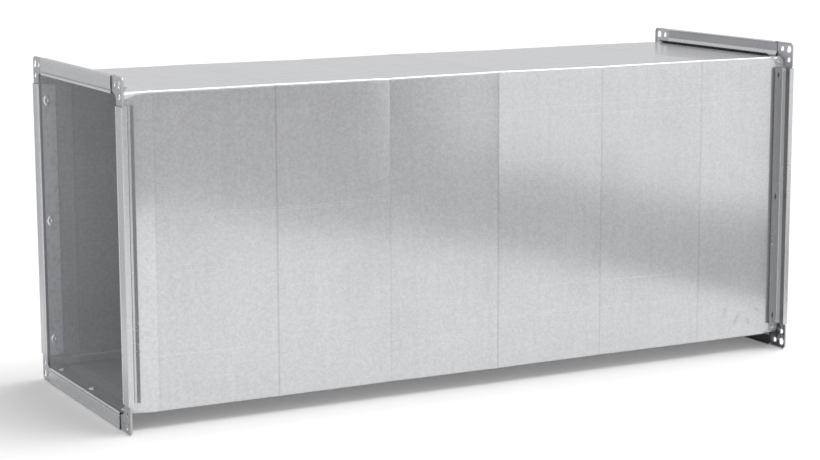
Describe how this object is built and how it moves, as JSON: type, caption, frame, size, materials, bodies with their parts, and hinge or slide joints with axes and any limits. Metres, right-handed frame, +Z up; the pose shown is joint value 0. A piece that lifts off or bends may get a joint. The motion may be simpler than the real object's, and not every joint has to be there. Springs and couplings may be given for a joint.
{
  "type": "flanged rectangular air duct section",
  "caption": "Straight rectangular ventilation duct of galvanised sheet steel with a slip-on flange frame and bolt holes at each end.",
  "frame": {"origin": "middle of the duct's length and width, on the floor under the two flange frames", "axes": "+X along the duct from the left to the right flange, +Y from the front wall to the back wall, +Z up"},
  "size_m": [1, 0.34, 0.44],
  "materials": {
    "galvanised_sheet": "galvanised, fine spangle, semi-matt",
    "galvanised_rail": "galvanised, rolled, semi-gloss",
    "galvanised_corner": "galvanised, stamped, semi-matt"
  },
  "bodies": {
    "root": {"duct_shell": "galvanised_sheet", "left_bottom_rail": "galvanised_rail", "left_top_rail": "galvanised_rail", "left_front_rail": "galvanised_rail", "left_back_rail": "galvanised_rail", "right_bottom_rail": "galvanised_rail", "right_top_rail": "galvanised_rail", "right_front_rail": "galvanised_rail", "right_back_rail": "galvanised_rail", "left_bottom_front_corner": "galvanised_corner", "left_bottom_back_corner": "galvanised_corner", "left_top_front_corner": "galvanised_corner", "left_top_back_corner": "galvanised_corner", "right_bottom_front_corner": "galvanised_corner", "right_bottom_back_corner": "galvanised_corner", "right_top_front_corner": "galvanised_corner", "right_top_back_corner": "galvanised_corner"}
  },
  "joints": []
}
